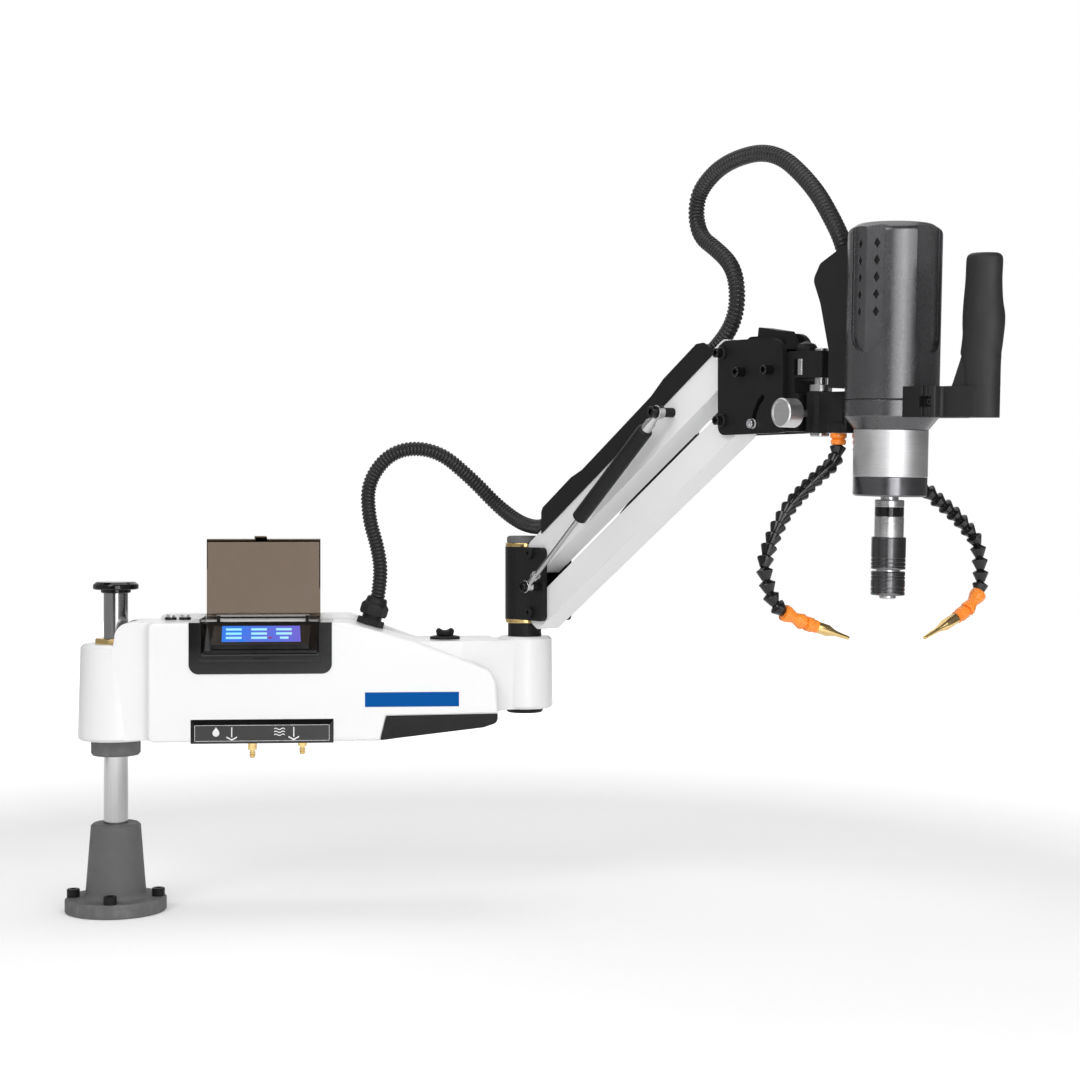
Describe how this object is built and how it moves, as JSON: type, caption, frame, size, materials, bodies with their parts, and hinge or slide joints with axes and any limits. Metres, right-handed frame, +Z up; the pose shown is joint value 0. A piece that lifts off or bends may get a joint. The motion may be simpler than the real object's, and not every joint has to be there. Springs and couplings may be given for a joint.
{
  "type": "arm tapping machine",
  "caption": "Column-mounted tapping machine: swinging main arm with display, sprung parallelogram forearm, tilting and swivelling motor head with chuck, side handle and coolant hoses",
  "frame": {"origin": "on the column axis at the underside of the base flange", "axes": "+X along the main arm towards the elbow, +Z up the column, -Y out of the display side of the main arm"},
  "size_m": [1.0312, 0.7468, 0.8982],
  "materials": {
    "white_cast": "gloss white powder coat on cast aluminium",
    "white_cover": "moulded cover in gloss white",
    "flange_iron": "dark grey textured coat on cast iron",
    "collar_dark": "dark grey coat",
    "black_cast": "satin black powder coat on cast aluminium",
    "charcoal": "charcoal metallic coat",
    "black_plastic": "moulded black plastic",
    "black_gloss": "glossy black moulding",
    "steel_column": "ground and plated bar",
    "machined_steel": "machined steel",
    "dark_steel": "black oxide steel",
    "zinc_steel": "bright zinc plated steel",
    "bronze": "turned brass and bronze",
    "bare_aluminium": "machined aluminium",
    "screen_glass": "glossy panel over a display",
    "lid_plastic": "tinted clear plastic with a dark rim",
    "hose_black": "black segments with orange end pieces",
    "conduit_black": "corrugated black conduit",
    "grip_black": "black grip",
    "button_grey": "domed push-button",
    "button_green": "domed push-button"
  },
  "bodies": {
    "base": {"base_flange": "flange_iron", "base_bolts": "dark_steel", "column": "steel_column", "column_cap": "black_plastic"},
    "height_collar": {"height_collar": "collar_dark"},
    "main_arm": {"arm_casting": "white_cast", "column_bushes": "bronze", "front_cover": "white_cover", "rear_cover": "white_cover", "nose_insert": "black_plastic", "display_console": "black_plastic", "display_screen": "screen_glass", "display_bezel": "black_plastic", "lid_hinge_pin": "dark_steel", "port_plate": "black_plastic", "service_ports": "bronze", "button_collars": "black_plastic", "lock_knob_base": "black_plastic", "cable_gland": "black_plastic", "elbow_post": "dark_steel", "post_foot": "black_plastic", "elbow_cap": "charcoal", "lower_conduit": "conduit_black"},
    "screen_lid": {"screen_lid": "lid_plastic"},
    "start_button": {"start_button": "button_grey"},
    "stop_button": {"stop_button": "button_green"},
    "lock_knob": {"lock_knob": "black_plastic"},
    "elbow": {"elbow_sleeve": "black_cast", "elbow_bushes": "bronze", "elbow_pins": "dark_steel"},
    "upper_link": {"upper_link": "white_cast", "cable_tray": "black_cast", "spring_cylinders": "dark_steel"},
    "lower_link": {"lower_link": "white_cast"},
    "spring_rod_near": {"spring_rod_near": "zinc_steel"},
    "spring_rod_far": {"spring_rod_far": "zinc_steel"},
    "head_carrier": {"head_plate_near": "black_cast", "head_plate_far": "black_cast", "head_spacer": "black_cast", "head_pins": "dark_steel", "upper_conduit": "conduit_black"},
    "tilt_block": {"tilt_block": "black_cast", "slot_screws": "zinc_steel", "swivel_pin": "zinc_steel"},
    "head": {"head_bracket": "black_cast", "coolant_manifold": "black_plastic", "cable_cover": "black_cast", "motor_cover": "charcoal", "gearbox_housing": "charcoal", "spindle_barrel": "bare_aluminium", "nose_ring": "black_gloss", "handle_clamp": "black_cast", "handle_arm": "black_cast", "handle_grip": "grip_black"},
    "swivel_knob": {"swivel_knob": "machined_steel"},
    "spindle": {"spindle": "machined_steel", "chuck_collar": "dark_steel"},
    "chuck_sleeve": {"chuck_sleeve": "dark_steel"},
    "hose_left": {"hose_left": "hose_black"},
    "hose_right": {"hose_right": "hose_black"}
  },
  "joints": [
    {"name": "height_slide", "type": "slide", "parent": "base", "child": "height_collar", "axis": [0, 0, 1], "range_m": [-0.07, 0.038]},
    {"name": "arm_swing", "type": "hinge", "parent": "height_collar", "child": "main_arm", "pos_m": [0, 0, 0.27], "axis": [0, 0, 1], "range_deg": [-170, 170]},
    {"name": "lid_hinge", "type": "hinge", "parent": "main_arm", "child": "screen_lid", "pos_m": [0.1826, 0.012, 0.3638], "axis": [1, 0, 0], "range_deg": [0, 110]},
    {"name": "start_press", "type": "slide", "parent": "main_arm", "child": "start_button", "axis": [0, 0, 1], "range_m": [-0.0025, 0], "stiffness_N_per_m": 300},
    {"name": "stop_press", "type": "slide", "parent": "main_arm", "child": "stop_button", "axis": [0, 0, 1], "range_m": [-0.0025, 0], "stiffness_N_per_m": 300},
    {"name": "lock_turn", "type": "hinge", "parent": "main_arm", "child": "lock_knob", "pos_m": [0.411, 0, 0.345], "axis": [0, 0, 1], "continuous": true},
    {"name": "elbow_swing", "type": "hinge", "parent": "main_arm", "child": "elbow", "pos_m": [0.512, 0, 0.4], "axis": [0, 0, 1], "range_deg": [-50.7, 169.3], "deforming": ["lower_conduit"]},
    {"name": "forearm_lift", "type": "hinge", "parent": "elbow", "child": "upper_link", "pos_m": [0.53472, -0.03826, 0.4456], "axis": [-0.8599, -0.5105, 0], "range_deg": [-56.6, 13.4]},
    {"name": "lower_link_lift", "type": "hinge", "parent": "elbow", "child": "lower_link", "pos_m": [0.53472, -0.03826, 0.3721], "axis": [-0.8599, -0.5105, 0], "range_deg": [-56.6, 13.4]},
    {"name": "near_spring_swing", "type": "hinge", "parent": "elbow", "child": "spring_rod_near", "pos_m": [0.51101, -0.06688, 0.405], "axis": [-0.8599, -0.5105, 0], "range_deg": [-56.6, 13.4]},
    {"name": "far_spring_swing", "type": "hinge", "parent": "elbow", "child": "spring_rod_far", "pos_m": [0.5712, -0.03114, 0.405], "axis": [-0.8599, -0.5105, 0], "range_deg": [-56.6, 13.4]},
    {"name": "head_level", "type": "hinge", "parent": "upper_link", "child": "head_carrier", "pos_m": [0.72301, -0.35537, 0.67249], "axis": [-0.8599, -0.5105, 0], "range_deg": [-13.4, 56.6]},
    {"name": "head_tilt", "type": "hinge", "parent": "head_carrier", "child": "tilt_block", "pos_m": [0.76727, -0.42993, 0.592], "axis": [0.8599, 0.5105, 0], "range_deg": [-1.75, 40], "deforming": ["upper_conduit"]},
    {"name": "head_swivel", "type": "hinge", "parent": "tilt_block", "child": "head", "pos_m": [0.7901, -0.46838, 0.59864], "axis": [0.0156, -0.0263, 0.9995], "range_deg": [-20, 20]},
    {"name": "swivel_lock", "type": "hinge", "parent": "head", "child": "swivel_knob", "pos_m": [0.76115, -0.47838, 0.60243], "axis": [-0.8599, -0.5105, 0], "continuous": true},
    {"name": "spindle_turn", "type": "hinge", "parent": "head", "child": "spindle", "pos_m": [0.84162, -0.55514, 0.49551], "axis": [0.0156, -0.0263, 0.9995], "continuous": true},
    {"name": "chuck_release", "type": "slide", "parent": "spindle", "child": "chuck_sleeve", "axis": [0.0156, -0.0263, 0.9995], "range_m": [-0.0015, 0.004]},
    {"name": "left_hose_swivel", "type": "hinge", "parent": "head", "child": "hose_left", "pos_m": [0.80025, -0.50996, 0.57938], "axis": [0.0156, -0.0263, 0.9995], "range_deg": [-35, 18]},
    {"name": "right_hose_swivel", "type": "hinge", "parent": "head", "child": "hose_right", "pos_m": [0.82481, -0.50235, 0.5792], "axis": [0.0156, -0.0263, 0.9995], "range_deg": [-20, 35]}
  ],
  "couplings": [
    {"joint": "lower_link_lift", "follows": "forearm_lift", "ratio": 1},
    {"joint": "near_spring_swing", "follows": "forearm_lift", "ratio": 1},
    {"joint": "far_spring_swing", "follows": "forearm_lift", "ratio": 1},
    {"joint": "head_level", "follows": "forearm_lift", "ratio": -1}
  ]
}
